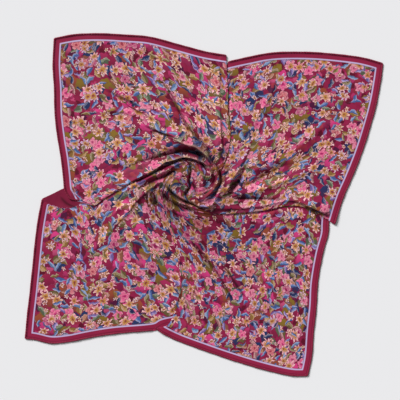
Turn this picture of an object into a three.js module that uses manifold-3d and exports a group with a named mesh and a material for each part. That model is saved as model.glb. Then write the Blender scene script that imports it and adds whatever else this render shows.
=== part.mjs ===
// Silk square scarf, 530 mm to a side, laid flat with its middle pinched up, twisted clockwise
// and let down into a rosette. Four corner lobes of the printed panel spread from the rosette.
// They overlap at a pleat in the middle of each side, and every edge is a hand-rolled hem.
import * as THREE from 'three';
import { mergeVertices } from 'three/addons/utils/BufferGeometryUtils.js';
import Module from 'manifold-3d';

const wasm = await Module();
wasm.setup();

// ---- driving dimensions, in mm and degrees. The plan's zero is the middle of the rosette ----
const CLOTH = 1.2;             // wall of the laid silk
const GAP = 0.35;              // air between pieces that lie side by side or on each other
const HEM = 2.4;               // thickness of the rolled hem
const HEM_CLEAR = 0.7;         // plan distance from a hem to its panel
const ROSETTE_RADIUS = 56;     // where the heaped middle ends and the lobes begin
const TWIST = 128;             // turn of the cloth at the middle
const TWIST_RADIUS = 29.4;     // where the turn starts to fall away
const MOUND_HEIGHT = 15;       // rise of the heap over the floor
const MOUND_RADIUS = 62;       // where the heap has fallen to half its rise
const FLAT_LEVEL = 0.5;        // relief lower than this lies flat
const TUCK = 12;               // how far a lower lobe runs on under the fold that covers it
const TUCK_FROM = 100;         // no tuck nearer the middle than this
const FOLD_RAMP = 24;          // width over which a lobe climbs onto the layers below it
const FOLD_LAYERS = 2.7;       // doubled edge of a lobe at its fold
const SHORT_OF_MIDDLE = 0.999; // a lobe's two folds stop here, before they meet in a point
const LOBE_STEPS = 18;
const HEM_STEPS = 15;
const HEM_SIDES = 6;
const ROSETTE_RINGS = 11;
const ROSETTE_SECTORS = 52;

// Each hem stretch runs from its corner of the square to the pleat in the middle of the side.
const hemRoutes = {
  top_left: [
    [-196, 212], [-163, 218], [-125, 219], [-88, 217], [-54, 214], [-12, 203], [25, 193], [58, 187],
  ],
  top_right: [
    [289, 175], [265, 182], [243, 186], [194, 191], [149, 192], [119, 190], [93, 185], [61, 178],
  ],
  right_upper: [
    [289, 175], [286, 152], [280, 118], [271, 84], [258, 43], [243, 5], [230, -25], [218, -63],
  ],
  right_lower: [
    [178, -286], [184, -258], [187, -220], [191, -183], [193, -148], [200, -107], [208, -78], [209, -62],
  ],
  bottom_right: [
    [178, -286], [157, -286], [130, -281], [93, -271], [55, -259], [18, -246], [-12, -235], [-35, -224],
    [-48, -215],
  ],
  bottom_left: [
    [-239, -231], [-223, -233], [-200, -238], [-174, -236], [-144, -230], [-106, -224], [-50, -219],
  ],
  left_lower: [
    [-239, -231], [-236, -198], [-232, -164], [-228, -126], [-223, -78], [-219, -51], [-214, -25],
  ],
  left_upper: [
    [-196, 212], [-198, 174], [-196, 136], [-195, 99], [-191, 65], [-186, 35], [-183, 9], [-181, -11],
    [-177, -20], [-171, -26], [-158, -28],
  ],
};

// The fold at each pleat, from the hem inward, as [radius, bearing] from the rosette. "over" is the
// side of the fold that the covering lobe lies on: 1 for growing bearings and -1 for falling ones.
// "under" is where the covered lobe's own edge starts, if it shows beyond the fold.
const folds = {
  top: {
    over: 1,
    under: [],
    rows: [[186, 72], [147, 66], [123, 61], [97, 49], [77, 38], [50, 14]],
  },
  right: {
    over: 1,
    under: [],
    rows: [[215, 345], [194, 347], [170, 348], [146, 346], [121, 340], [88, 329], [64, 314], [48, 293]],
  },
  bottom: {
    over: 1,
    under: [],
    rows: [[214, 262], [201, 264], [177, 265], [162, 266], [130, 265], [94, 259], [71, 248], [54, 233]],
  },
  left: {
    over: -1,
    under: [[198, 185], [181, 183], [165, 183]],
    rows: [[141, 194], [124, 191], [100, 186], [82, 180], [58, 168]],
  },
};

// Lobes in the order they lie, from the top one down. "covers" names the folds where the lobe
// is the upper layer. The first hem ends at the first fold, and the second hem at the second.
const lobes = [
  {
    name: 'lobe_upper_left',
    hems: ['top_left', 'left_upper'],
    folds: ['top', 'left'],
    covers: ['top', 'left'],
  },
  {
    name: 'lobe_upper_right',
    hems: ['right_upper', 'top_right'],
    folds: ['right', 'top'],
    covers: ['right'],
  },
  {
    name: 'lobe_lower_right',
    hems: ['bottom_right', 'right_lower'],
    folds: ['bottom', 'right'],
    covers: ['bottom'],
  },
  {
    name: 'lobe_lower_left',
    hems: ['left_lower', 'bottom_left'],
    folds: ['left', 'bottom'],
    covers: [],
  },
];

// The largest creases, as soft ridges: height, half width, and a route of [radius, bearing].
const creases = [
  {
    height: 7,
    width: 9,
    route: [[104, 129], [82, 120], [62, 104], [51, 79], [51, 48], [53, 19], [47, 334], [40, 298]],
  },
  { height: 4, width: 8, route: [[158, 106], [118, 100], [91, 93], [74, 83], [63, 55], [57, 28]] },
  { height: 3, width: 8, route: [[199, 48], [153, 45], [112, 38], [77, 23]] },
  { height: 5, width: 10, route: [[189, 13], [141, 7], [98, 1], [63, 349]] },
  { height: 4, width: 9, route: [[194, 347], [146, 346], [88, 331], [64, 318], [44, 285], [34, 239]] },
  { height: 4, width: 8, route: [[188, 296], [126, 286], [77, 277], [46, 248]] },
  { height: 6, width: 8, route: [[141, 190], [100, 182], [70, 174], [45, 155], [36, 115], [40, 62], [46, 20]] },
  { height: 4, width: 8, route: [[221, 218], [153, 215], [99, 207], [57, 189]] },
  { height: 3, width: 8, route: [[106, 201], [66, 190], [48, 187], [36, 181], [25, 219]] },
];

const silk = new THREE.MeshStandardMaterial({ color: 0x9c3350, roughness: 0.45, metalness: 0 });
const rolledEdge = new THREE.MeshStandardMaterial({ color: 0x7a1f35, roughness: 0.5, metalness: 0 });

// ---- the twist, the folds and the relief of the laid cloth ----

const radians = (degrees) => THREE.MathUtils.degToRad(degrees);

function polar(radius, bearing) {
  const turn = radians(bearing);
  return new THREE.Vector2(radius * Math.cos(turn), radius * Math.sin(turn));
}

// Turns a plan point about the rosette: 1 winds it as the twist does, and -1 unwinds it.
function wind(point, sense) {
  const core = TWIST_RADIUS ** 2;
  const turn = radians(TWIST) * core / Math.hypot(point.lengthSq(), core);
  return point.clone().rotateAround(new THREE.Vector2(), -sense * turn);
}

function smoothLine(points) {
  const line = new THREE.SplineCurve(points);
  line.arcLengthDivisions = 400;
  return line;
}

function hemLine(name) {
  return smoothLine(hemRoutes[name].map(([x, y]) => new THREE.Vector2(x, y)));
}

// The edge of one lobe along a fold. The covering lobe ends at the fold, and the covered one
// runs on under it by the tuck. "grow" moves the edge out, for a lobe's clearance.
function foldLine(lobe, foldName, start, grow) {
  const fold = folds[foldName];
  const covering = lobe.covers.includes(foldName);
  const rows = covering ? fold.rows : [...fold.under, ...fold.rows];
  const inner = rows.filter(([radius]) => radius < start.length() - 5).map(([radius, bearing], index) => {
    const tuck = TUCK * THREE.MathUtils.smoothstep(radius, TUCK_FROM - 15, TUCK_FROM + 15) - GAP;
    const given = !covering && index < fold.under.length;
    const shift = covering ? -grow : (given ? 0 : tuck);
    return polar(radius, bearing + fold.over * THREE.MathUtils.radToDeg(shift / radius));
  });
  return [start, ...inner];
}

function unwound(points) {
  return points.map((point) => wind(point, -1));
}

function distanceTo(line, point) {
  let nearest = Infinity;
  for (let i = 1; i < line.length; i += 1) {
    const along = line[i].clone().sub(line[i - 1]);
    const reach = point.clone().sub(line[i - 1]).dot(along) / along.lengthSq();
    const foot = line[i - 1].clone().addScaledVector(along, THREE.MathUtils.clamp(reach, 0, 1));
    nearest = Math.min(nearest, foot.distanceTo(point));
  }
  return nearest;
}

const creaseLines = creases.map((crease) => ({
  ...crease,
  line: smoothLine(crease.route.map(([radius, bearing]) => polar(radius, bearing))).getPoints(28),
}));
const foldPaths = Object.fromEntries(Object.entries(folds).map(([name, fold]) => [
  name, smoothLine(fold.rows.map(([radius, bearing]) => polar(radius, bearing))).getPoints(24),
]));

// Height of the cloth's underside over the floor. It is nothing beside the outer folds, where
// the layers lie on each other.
function relief(point) {
  const radius = point.length();
  let height = MOUND_HEIGHT / (1 + (radius / MOUND_RADIUS) ** 6);
  for (const crease of creaseLines) {
    const off = distanceTo(crease.line, point) / crease.width;
    const ends = THREE.MathUtils.smoothstep(260 - radius, 40, 200);
    height += crease.height * Math.exp(-off * off) * ends;
  }
  const nearFold = Math.min(...Object.values(foldPaths).map((path) => distanceTo(path, point)));
  const pressed = THREE.MathUtils.smoothstep(nearFold, TUCK + 2, TUCK + FOLD_RAMP);
  const inner = 1 - THREE.MathUtils.smoothstep(radius, TUCK_FROM - 25, TUCK_FROM);
  return Math.max(0, height - FLAT_LEVEL) * Math.max(pressed, inner);
}

// ---- solids ----

// A closed solid from a grid of plan points, each with a top and a bottom height.
function gridSolid(columns, rows, sample) {
  const positions = [];
  const faces = [];
  const across = columns + 1;
  const layer = across * (rows + 1);
  const cells = [];
  for (let j = 0; j <= rows; j += 1) {
    for (let i = 0; i <= columns; i += 1) cells.push(sample(i / columns, j / rows));
  }
  for (const cell of cells) positions.push(cell.x, cell.y, cell.top);
  for (const cell of cells) positions.push(cell.x, cell.y, cell.bottom);
  const quad = (a, b, c, d) => faces.push(a, c, b, a, d, c);
  for (let j = 0; j < rows; j += 1) {
    for (let i = 0; i < columns; i += 1) {
      const a = j * across + i;
      quad(a, a + 1, a + 1 + across, a + across);
      quad(layer + a, layer + a + across, layer + a + 1 + across, layer + a + 1);
    }
  }
  for (let i = 0; i < columns; i += 1) {
    const far = rows * across + i;
    quad(layer + i, layer + i + 1, i + 1, i);
    quad(far, far + 1, layer + far + 1, layer + far);
  }
  for (let j = 0; j < rows; j += 1) {
    const near = j * across;
    const far = near + columns;
    quad(near, near + across, layer + near + across, layer + near);
    quad(layer + far, layer + far + across, far + across, far);
  }
  const mesh = new wasm.Mesh({
    numProp: 3,
    vertProperties: new Float32Array(positions),
    triVerts: new Uint32Array(faces),
  });
  return new wasm.Manifold(mesh);
}

// One corner lobe: a patch between its two hems and its two folds, unwound, filled and wound
// up again. Near a fold that it covers, the lobe is doubled and climbs over the one below.
function lobeSolid(lobe, grow) {
  const [hemA, hemB] = lobe.hems.map((name) => hemLine(name));
  const corner = wind(hemA.getPoint(0), -1);
  const centre = new THREE.Vector2();
  const sides = lobe.folds.map((name, index) => {
    const start = [hemA, hemB][index].getPoint(1);
    return smoothLine([...unwound(foldLine(lobe, name, start, grow)), centre]);
  });
  const endA = sides[0].getPoint(0);
  const endB = sides[1].getPoint(0);
  const lengths = [hemA.getLength(), hemB.getLength(), sides[0].getLength(), sides[1].getLength()];
  const covered = lobe.folds.filter((name) => lobe.covers.includes(name)).map((name) => foldPaths[name]);
  const inset = HEM + HEM_CLEAR - grow;
  const patch = (s, t) => {
    const sum = wind(hemA.getPointAt(s), -1).multiplyScalar(1 - t);
    sum.addScaledVector(sides[1].getPointAt(s), t);
    sum.addScaledVector(wind(hemB.getPointAt(t), -1), 1 - s);
    sum.addScaledVector(sides[0].getPointAt(t), s);
    sum.addScaledVector(corner, -(1 - s) * (1 - t));
    sum.addScaledVector(endA, -s * (1 - t));
    sum.addScaledVector(endB, -t * (1 - s));
    return wind(sum, 1);
  };
  return gridSolid(LOBE_STEPS, LOBE_STEPS, (i, j) => {
    const insetS = inset / THREE.MathUtils.lerp(lengths[0], lengths[3], j);
    const insetT = inset / THREE.MathUtils.lerp(lengths[1], lengths[2], i);
    const point = patch(insetS + i * (1 - insetS), insetT + j * (1 - insetT) * SHORT_OF_MIDDLE);
    const near = Math.min(FOLD_RAMP * 4, ...covered.map((path) => distanceTo(path, point)));
    const doubled = 1 - THREE.MathUtils.smoothstep(near, TUCK - 4, TUCK + 4);
    const climb = 1 - THREE.MathUtils.smoothstep(near, TUCK + 2, TUCK + FOLD_RAMP);
    const under = relief(point) + climb * (CLOTH + GAP);
    const top = under + CLOTH + doubled * (FOLD_LAYERS - CLOTH);
    return { x: point.x, y: point.y, top: top + grow, bottom: under - grow };
  });
}

// The heaped middle: hidden layers that share one rounded solid on a flat foot.
function rosetteSolid() {
  const rim = ROSETTE_RADIUS - GAP;
  const positions = [0, 0, relief(new THREE.Vector2()) + CLOTH, 0, 0, 0];
  const faces = [];
  const ring = (index, sector) => 2 + index * ROSETTE_SECTORS + (sector % ROSETTE_SECTORS);
  for (let r = 1; r <= ROSETTE_RINGS + 1; r += 1) {
    const foot = r > ROSETTE_RINGS;
    const radius = foot ? rim : rim * r / ROSETTE_RINGS;
    for (let s = 0; s < ROSETTE_SECTORS; s += 1) {
      const point = polar(radius, 360 * s / ROSETTE_SECTORS);
      positions.push(point.x, point.y, foot ? 0 : relief(point) + CLOTH);
    }
  }
  for (let s = 0; s < ROSETTE_SECTORS; s += 1) {
    faces.push(0, ring(0, s), ring(0, s + 1));
    faces.push(1, ring(ROSETTE_RINGS, s + 1), ring(ROSETTE_RINGS, s));
    for (let r = 0; r < ROSETTE_RINGS; r += 1) {
      faces.push(ring(r, s), ring(r + 1, s), ring(r + 1, s + 1));
      faces.push(ring(r, s), ring(r + 1, s + 1), ring(r, s + 1));
    }
  }
  const mesh = new wasm.Mesh({
    numProp: 3,
    vertProperties: new Float32Array(positions),
    triVerts: new Uint32Array(faces),
  });
  return new wasm.Manifold(mesh);
}

// A rolled hem: a tube along its stretch, just inside the outline, which climbs at its end
// where its lobe lies on top. The second hem of a corner starts clear of the first. "grow" makes
// the tube thicker, for its clearance.
function hemSolid(lobe, index, grow) {
  const line = hemLine(lobe.hems[index]);
  const length = line.getLength();
  const covering = lobe.covers.includes(lobe.folds[index]);
  const start = index === 1 ? (HEM + GAP) / length : 0;
  const sign = index === 0 ? -1 : 1;
  const centres = [];
  for (let i = 0; i <= HEM_STEPS; i += 1) {
    const share = start + (1 - start - GAP / length) * i / HEM_STEPS;
    const point = line.getPointAt(share);
    const along = line.getTangentAt(share);
    const side = new THREE.Vector2(-along.y, along.x).multiplyScalar(sign);
    point.addScaledVector(side, HEM / 2);
    const near = length * (1 - share);
    const climb = covering ? 1 - THREE.MathUtils.smoothstep(near, TUCK + 2, TUCK + FOLD_RAMP) : 0;
    centres.push({ point, side, lift: HEM / 2 + climb * (CLOTH + GAP) });
  }
  const positions = [];
  const faces = [];
  for (const { point, side, lift } of centres) {
    for (let k = 0; k < HEM_SIDES; k += 1) {
      const turn = radians(360 * k / HEM_SIDES);
      const out = (HEM / 2 + grow) * Math.cos(turn);
      const rise = (HEM / 2 + grow) * Math.sin(turn) / Math.cos(Math.PI / HEM_SIDES);
      positions.push(point.x + side.x * out, point.y + side.y * out, lift + rise);
    }
  }
  const at = (step, k) => step * HEM_SIDES + (k % HEM_SIDES);
  const push = (a, b, c) => (sign > 0 ? faces.push(a, b, c) : faces.push(a, c, b));
  for (let k = 0; k < HEM_SIDES; k += 1) {
    for (let i = 0; i < HEM_STEPS; i += 1) {
      push(at(i, k), at(i, k + 1), at(i + 1, k + 1));
      push(at(i, k), at(i + 1, k + 1), at(i + 1, k));
    }
    if (k > 1) {
      push(at(0, 0), at(0, k), at(0, k - 1));
      push(at(HEM_STEPS, 0), at(HEM_STEPS, k - 1), at(HEM_STEPS, k));
    }
  }
  const mesh = new wasm.Mesh({
    numProp: 3,
    vertProperties: new Float32Array(positions),
    triVerts: new Uint32Array(faces),
  });
  return new wasm.Manifold(mesh);
}

// ---- joining and cutting, and the finished group ----

function cutter(radius, height) {
  const cylinder = new THREE.CylinderGeometry(radius, radius, height, ROSETTE_SECTORS * 2);
  cylinder.rotateX(Math.PI / 2);
  cylinder.deleteAttribute('normal');
  cylinder.deleteAttribute('uv');
  const merged = mergeVertices(cylinder);
  return new wasm.Manifold(new wasm.Mesh({
    numProp: 3,
    vertProperties: new Float32Array(merged.attributes.position.array),
    triVerts: new Uint32Array(merged.index.array),
  }));
}

function meshOf(solid, name, material) {
  const result = solid.getMesh();
  const geometry = new THREE.BufferGeometry();
  geometry.setAttribute('position', new THREE.BufferAttribute(new Float32Array(result.vertProperties), 3));
  geometry.setIndex(new THREE.BufferAttribute(new Uint32Array(result.triVerts), 1));
  geometry.computeVertexNormals();
  const mesh = new THREE.Mesh(geometry, material);
  mesh.name = name;
  return mesh;
}

const scarf = new THREE.Group();
const rosetteHole = cutter(ROSETTE_RADIUS, 100);
const above = [];
for (const lobe of lobes) {
  const cut = (solid, cutters) => cutters.reduce((rest, other) => rest.subtract(other), solid);
  const hemClearances = lobe.hems.map((hem, index) => hemSolid(lobe, index, GAP));
  const panel = cut(lobeSolid(lobe, 0), [rosetteHole, ...above, ...hemClearances]);
  scarf.add(meshOf(panel, lobe.name, silk));
  lobe.hems.forEach((hem, index) => {
    scarf.add(meshOf(cut(hemSolid(lobe, index, 0), above), `hem_${hem}`, rolledEdge));
  });
  above.push(lobeSolid(lobe, GAP - 0.05), panel, ...hemClearances);
}
scarf.add(meshOf(rosetteSolid(), 'rosette', silk));

// The origin is the middle of the whole outline, on the floor.
const extent = new THREE.Box3().setFromObject(scarf);
const middle = extent.getCenter(new THREE.Vector3());
scarf.position.set(-middle.x, -middle.y, -extent.min.z);

export default scarf;
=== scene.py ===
"""Silk square scarf, laid flat and twisted up at its middle into a rosette.

Four corner lobes of one printed silk panel spread from the rosette and overlap at a pleat in
the middle of each side. Every edge is a hand-rolled hem held by small slanted stitches.
"""

import math

import bpy
import numpy as np
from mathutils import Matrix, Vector


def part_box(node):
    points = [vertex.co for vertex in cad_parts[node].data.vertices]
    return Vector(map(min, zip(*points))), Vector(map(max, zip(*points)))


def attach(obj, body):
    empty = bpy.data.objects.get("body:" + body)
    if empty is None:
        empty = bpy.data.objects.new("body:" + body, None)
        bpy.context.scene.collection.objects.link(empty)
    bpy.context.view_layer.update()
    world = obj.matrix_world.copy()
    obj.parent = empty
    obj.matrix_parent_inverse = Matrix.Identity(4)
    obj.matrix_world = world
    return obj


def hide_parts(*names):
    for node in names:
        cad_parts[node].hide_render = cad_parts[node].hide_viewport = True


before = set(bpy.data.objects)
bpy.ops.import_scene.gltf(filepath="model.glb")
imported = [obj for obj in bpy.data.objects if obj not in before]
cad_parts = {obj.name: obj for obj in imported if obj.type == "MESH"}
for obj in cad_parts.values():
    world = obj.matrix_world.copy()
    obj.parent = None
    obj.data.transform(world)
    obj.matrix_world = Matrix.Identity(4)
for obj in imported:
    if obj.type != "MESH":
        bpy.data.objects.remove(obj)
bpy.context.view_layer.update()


# ---- Camera ------------------------------------------------------------------------------
# A long lens looks straight down on the laid scarf, a little to the lower right of the
# rosette, so that all four corners stand clear of the edges.

MM = 0.001
CAMERA_HEIGHT = 2.0
FILM_WIDTH = 36.0
VIEW_WIDTH = 0.5889            # what the lens takes in at the floor
VIEW_OFFSET = (19.1, -26.5)    # from the rosette to the middle of the view, in mm

rosette_low, rosette_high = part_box("rosette")
heart = (rosette_low + rosette_high) / 2

camera = bpy.data.objects.new("camera", bpy.data.cameras.new("camera"))
camera.data.sensor_width = FILM_WIDTH
camera.data.lens = FILM_WIDTH * CAMERA_HEIGHT / VIEW_WIDTH
camera.location = (heart.x + VIEW_OFFSET[0] * MM, heart.y + VIEW_OFFSET[1] * MM, CAMERA_HEIGHT)
bpy.context.scene.collection.objects.link(camera)
bpy.context.scene.camera = camera


# ---- Printed silk: shape -----------------------------------------------------------------
# One 530 mm square of light printed silk twill. Its middle is pinched up, turned clockwise and
# let down into a spiral of soft folds, and its four corner lobes lie flat round that, each
# folded over or tucked under the next. In mm and degrees, from the middle of the rosette.

SIDE = 530.0
SILK = 0.5                     # wall of the laid silk
HEM = 2.4                      # thickness of the rolled hem
TWIST = 128.0                  # turn of the cloth at the middle
TWIST_RADIUS = 29.4            # where the turn starts to fall away
TUCK = 12.0                    # how far a covered lobe runs on under the fold above it
FOLD = 1.5                     # the doubled edge of a covering lobe
DIP = 1.8                      # how far a covered lobe sinks beside the fold
FOLD_WIDTH = 11.0              # how far the doubling reaches back from the fold
FOLD_RAMP = 30.0               # where a covering lobe has come down to the floor
AIR = 0.25                     # room between two layers
FLAT_LIE = 0.7                 # how high the cloth lies at a hem
LEAST_LIE = 0.02               # least room between the silk and the floor
RIDGE_GAIN = 1.7               # height of a ridge, as a share of what its rows say
GROOVE_GAIN = 2.2              # and depth of a groove
LEAN = 0.7                     # how far a one-sided ridge leans over, as a share of its height
LOBE_STEPS = 190               # steps of the silk from a corner to the middle
NOSE_STEPS = 5                 # steps round the edge of the silk

# Each hem stretch runs from its corner of the square to the pleat in the middle of the side.
hem_routes = {
    "top_left": [
        (-196, 212), (-163, 218), (-125, 219), (-88, 217), (-54, 214), (-12, 203), (25, 193),
        (58, 187)],
    "top_right": [
        (289, 175), (265, 182), (243, 186), (194, 191), (149, 192), (119, 190), (93, 185),
        (61, 178)],
    "right_upper": [
        (289, 175), (286, 152), (280, 118), (271, 84), (258, 43), (243, 5), (230, -25),
        (218, -63)],
    "right_lower": [
        (178, -286), (184, -258), (187, -220), (191, -183), (193, -148), (200, -107),
        (208, -78), (209, -62), (210, -47)],
    "bottom_right": [
        (178, -286), (157, -286), (130, -281), (93, -271), (55, -259), (18, -246), (-12, -235),
        (-35, -224), (-48, -215)],
    "bottom_left": [
        (-239, -231), (-223, -233), (-200, -238), (-174, -236), (-144, -230), (-106, -224),
        (-50, -219)],
    "left_lower": [
        (-239, -231), (-236, -198), (-232, -164), (-228, -126), (-223, -78), (-219, -51),
        (-214, -25)],
    "left_upper": [
        (-196, 212), (-198, 174), (-196, 136), (-195, 99), (-191, 65), (-186, 35), (-183, 9),
        (-181, -11), (-177, -20), (-171, -26), (-158, -28)],
}

# The fold at each pleat, from the hem inward, as (radius, bearing). "over" is the side that
# the covering lobe lies on: 1 for growing bearings and -1 for falling ones. "under" is where
# the covered lobe's own edge starts, if it shows beyond the fold. "closes" is the radius where
# the fold starts to close up into the rosette, and "bold" the share of its full height.
fold_rows = {
    "top": {"over": 1, "closes": 130, "bold": 0.9, "under": [], "rows": [
        (186, 72), (147, 66), (123, 61), (97, 49), (77, 38), (50, 14)]},
    "right": {"over": 1, "closes": 80, "bold": 0.8, "under": [], "rows": [
        (215, 345), (194, 347), (170, 348), (146, 346), (121, 340), (88, 329), (64, 314),
        (48, 293)]},
    "bottom": {"over": 1, "closes": 120, "bold": 0.6, "under": [], "rows": [
        (214, 262), (201, 264), (177, 265), (162, 266), (130, 265), (94, 259), (71, 248),
        (54, 233)]},
    "left": {"over": -1, "closes": 60, "bold": 0.4, "under": [
        (198, 185), (181, 183), (165, 183)], "rows": [
        (141, 194), (124, 191), (100, 186), (82, 180), (58, 168)]},
}

# The four lobes from the top one down. "corner" is the corner of the flat square, and
# "reach" the laid distance from there to the middle of the rosette.
lobes = [
    {"name": "upper_left", "corner": (-1, 1), "reach": 289, "hems": ["top_left", "left_upper"],
     "folds": ["top", "left"], "covers": ["top", "left"]},
    {"name": "upper_right", "corner": (1, 1), "reach": 338, "hems": ["right_upper", "top_right"],
     "folds": ["right", "top"], "covers": ["right"]},
    {"name": "lower_right", "corner": (1, -1), "reach": 337,
     "hems": ["bottom_right", "right_lower"], "folds": ["bottom", "right"], "covers": ["bottom"]},
    {"name": "lower_left", "corner": (-1, -1), "reach": 332, "hems": ["left_lower", "bottom_left"],
     "folds": ["left", "bottom"], "covers": []},
]

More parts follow.
